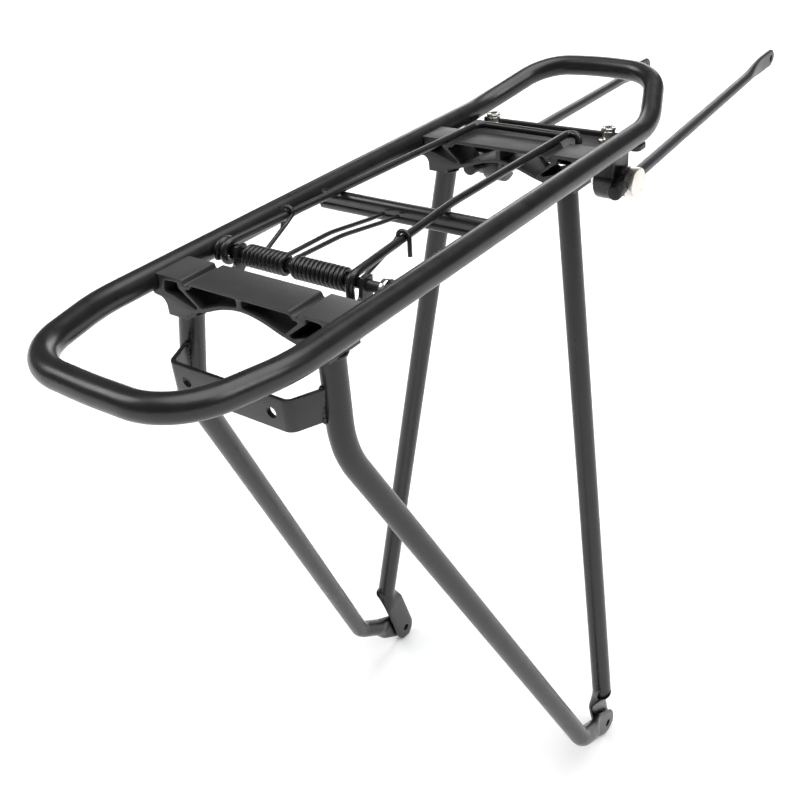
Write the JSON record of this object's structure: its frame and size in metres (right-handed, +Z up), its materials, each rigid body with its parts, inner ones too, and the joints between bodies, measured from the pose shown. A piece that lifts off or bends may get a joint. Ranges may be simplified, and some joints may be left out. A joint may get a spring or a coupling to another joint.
{
  "type": "rear rack",
  "caption": "Bicycle rear rack: a tubular platform on four legs with flattened feet, a spring-loaded wire flap, a light bracket and two adjustable stays.",
  "frame": {"origin": "midway between the two dropout eyelets at the bottom of the legs", "axes": "+X to the bicycle's right, +Y forward along the platform, +Z up, square to the platform's rails"},
  "size_m": [0.1944, 0.6212, 0.4166],
  "materials": {
    "frame_black": "satin black powder coat on aluminium tube",
    "bridge_black": "matt black anodised or powder-coated aluminium extrusion",
    "stay_black": "satin grey-black coated steel rod",
    "wire_black": "semi-gloss black coated spring steel wire",
    "cap_rubber": "soft matt black rubber",
    "nickel": "bright nickel-plated steel, lightly turned"
  },
  "bodies": {
    "root": {"platform_loop": "frame_black", "rear_bridge": "bridge_black", "front_bridge": "bridge_black", "front_plate": "bridge_black", "mid_crossbar": "frame_black", "light_bracket": "frame_black", "spring_axle": "frame_black", "axle_clip": "nickel", "rear_leg_left": "frame_black", "front_leg_left": "frame_black", "axle_lug_left": "frame_black", "spring_coil_left": "wire_black", "rear_leg_right": "frame_black", "front_leg_right": "frame_black", "axle_lug_right": "frame_black", "spring_coil_right": "wire_black"},
    "flap": {"spring_flap": "wire_black", "spring_hook_left": "wire_black", "spring_hook_right": "wire_black"},
    "clamp_left": {"clamp_screw_left": "nickel", "clamp_washer_left": "nickel"},
    "bracket_left": {"stay_bracket_left": "frame_black"},
    "eye_left": {"eye_bolt_left": "nickel", "stay_collar_left": "frame_black", "eye_nut_left": "nickel"},
    "stay_left": {"stay_rod_left": "stay_black", "stay_cap_left": "cap_rubber"},
    "clamp_right": {"clamp_screw_right": "nickel", "clamp_washer_right": "nickel"},
    "bracket_right": {"stay_bracket_right": "frame_black"},
    "eye_right": {"eye_bolt_right": "nickel", "stay_collar_right": "frame_black", "eye_nut_right": "nickel"},
    "stay_right": {"stay_rod_right": "stay_black", "stay_cap_right": "cap_rubber"}
  },
  "joints": [
    {"name": "flap_hinge", "type": "hinge", "parent": "root", "child": "flap", "pos_m": [0, -0.141, 0.384], "axis": [1, 0, 0], "range_deg": [0, 95], "stiffness_Nm_per_rad": 0.2, "springref_deg": -28.65},
    {"name": "clamp_slide_left", "type": "slide", "parent": "root", "child": "clamp_left", "axis": [-1, 0, 0], "range_m": [-0.001, 0.004]},
    {"name": "bracket_turn_left", "type": "hinge", "parent": "clamp_left", "child": "bracket_left", "pos_m": [-0.0382, 0.0814, 0.374], "axis": [0, 0, -1], "range_deg": [-4, 8]},
    {"name": "stay_swivel_left", "type": "hinge", "parent": "bracket_left", "child": "eye_left", "pos_m": [-0.0492, 0.086, 0.3543], "axis": [1, 0, 0], "range_deg": [-45, 25]},
    {"name": "stay_slide_left", "type": "slide", "parent": "eye_left", "child": "stay_left", "axis": [0.047, -0.9985, 0.0285], "range_m": [0, 0.024]},
    {"name": "clamp_slide_right", "type": "slide", "parent": "root", "child": "clamp_right", "axis": [1, 0, 0], "range_m": [-0.001, 0.004]},
    {"name": "bracket_turn_right", "type": "hinge", "parent": "clamp_right", "child": "bracket_right", "pos_m": [0.0382, 0.0814, 0.374], "axis": [0, 0, 1], "range_deg": [-4, 8]},
    {"name": "stay_swivel_right", "type": "hinge", "parent": "bracket_right", "child": "eye_right", "pos_m": [0.0492, 0.086, 0.3543], "axis": [1, 0, 0], "range_deg": [-45, 25]},
    {"name": "stay_slide_right", "type": "slide", "parent": "eye_right", "child": "stay_right", "axis": [0.0423, -0.9988, -0.0232], "range_m": [-0.003, 0.024]}
  ]
}
